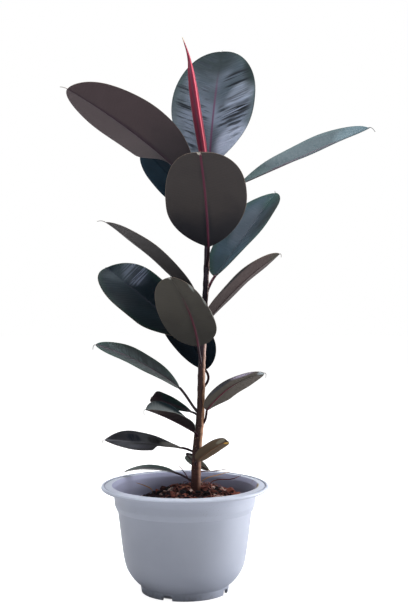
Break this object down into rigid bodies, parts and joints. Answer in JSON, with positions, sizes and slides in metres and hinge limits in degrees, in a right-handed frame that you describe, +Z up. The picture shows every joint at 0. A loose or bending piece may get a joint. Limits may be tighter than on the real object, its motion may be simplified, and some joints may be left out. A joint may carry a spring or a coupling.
{
  "type": "potted rubber plant",
  "caption": "Young burgundy rubber plant with broad glossy leaves and a red bud sheath, in a pale round plastic pot filled with coarse husk mix.",
  "frame": {"origin": "centre of the bounding box's bottom face, on the floor the pot stands on; the pot's axis is 58.5 mm to -X and 14 mm to +Y of it, because the leaves reach further to +X", "axes": "+Z up the plant; -Y is the front, which the picture shows; +X is the viewer's right"},
  "size_m": [0.4695, 0.2785, 0.8373],
  "materials": {
    "pot_plastic": "satin, pale bluish grey",
    "husk_mix": "rough husk chips and fibres",
    "stem_bark": "smooth young bark with leaf scars",
    "sheath_skin": "waxy crimson",
    "leaf_skin": "glossy dark upper face, matte brown underside"
  },
  "bodies": {
    "root": {"pot": "pot_plastic", "potting_mix": "husk_mix", "stem": "stem_bark", "bud_sheath": "sheath_skin", "leaf_01": "leaf_skin", "leaf_02": "leaf_skin", "leaf_03": "leaf_skin", "leaf_04": "leaf_skin", "leaf_05": "leaf_skin", "leaf_06": "leaf_skin", "leaf_07": "leaf_skin", "leaf_08": "leaf_skin", "leaf_09": "leaf_skin", "leaf_10": "leaf_skin", "leaf_11": "leaf_skin", "leaf_12": "leaf_skin", "leaf_13": "leaf_skin", "leaf_14": "leaf_skin", "leaf_15": "leaf_skin", "leaf_16": "leaf_skin", "leaf_17": "leaf_skin", "leaf_18": "leaf_skin", "leaf_19": "leaf_skin"}
  },
  "joints": []
}
